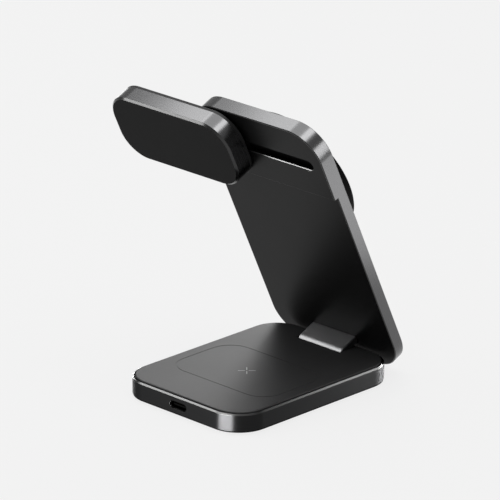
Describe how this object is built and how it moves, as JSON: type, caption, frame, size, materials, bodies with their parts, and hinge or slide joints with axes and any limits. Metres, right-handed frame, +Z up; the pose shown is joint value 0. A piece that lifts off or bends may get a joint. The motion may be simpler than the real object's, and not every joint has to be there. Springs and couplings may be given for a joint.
{
  "type": "wireless charger",
  "caption": "Folding charging stand: flat base with a USB-C inlet and earbud area, leaning panel with a round phone pad, and a watch module that slides out along a slot.",
  "frame": {"origin": "centre of the base's footprint, on the surface it stands on", "axes": "+X along the base's inlet edge, +Y towards the hinge and +Z up"},
  "size_m": [0.1074, 0.0979, 0.1173],
  "materials": {
    "anodised_aluminium": "dark satin anodised",
    "satin_cover": "fine satin grain",
    "arm_metal": "dark satin anodised",
    "black_plastic": "fine grain",
    "soft_black": "soft touch",
    "puck_plastic": "smooth",
    "steel": "plain",
    "slide_plastic": "smooth",
    "board": "solder mask",
    "ferrite": "sintered",
    "copper_wire": "lacquered wire",
    "magnet": "nickel plated"
  },
  "bodies": {
    "base": {"base_frame": "anodised_aluminium", "base_top_plate": "satin_cover", "base_bottom_cover": "black_plastic", "base_foot_pad": "soft_black", "base_chassis": "steel", "base_screws": "steel", "base_circuit_board": "board", "usb_c_shell": "steel", "usb_c_tongue": "slide_plastic", "earbud_coil_holder": "slide_plastic", "earbud_ferrite": "ferrite", "earbud_coil": "copper_wire", "hinge_bracket_left": "steel", "hinge_bracket_right": "steel", "hinge_bracket_screws": "steel", "hinge_pin": "steel", "friction_washer_left": "steel", "friction_washer_right": "steel"},
    "panel": {"hinge_arm": "arm_metal", "hinge_arm_screws": "steel", "panel_frame": "anodised_aluminium", "panel_front_cover": "satin_cover", "slide_guide": "slide_plastic", "panel_back_cover": "black_plastic", "panel_circuit_board": "board", "phone_pad_housing": "black_plastic", "phone_pad_face": "soft_black", "phone_ferrite": "ferrite", "phone_coil": "copper_wire", "phone_magnets": "magnet", "phone_pad_screws": "steel"},
    "watch_module": {"watch_frame": "anodised_aluminium", "watch_front_cover": "satin_cover", "watch_rear_cover": "black_plastic", "watch_puck": "puck_plastic", "watch_coil": "copper_wire", "watch_ferrite": "ferrite", "watch_magnet": "magnet", "watch_circuit_board": "board", "slide_shoe": "slide_plastic", "slide_shoe_screws": "steel"}
  },
  "joints": [
    {"name": "panel_fold", "type": "hinge", "parent": "base", "child": "panel", "pos_m": [0, 0.03825, 0.00635], "axis": [1, 0, 0], "range_deg": [0, 65]},
    {"name": "watch_slide", "type": "slide", "parent": "panel", "child": "watch_module", "axis": [1, 0, 0], "range_m": [0, 0.0402]}
  ]
}
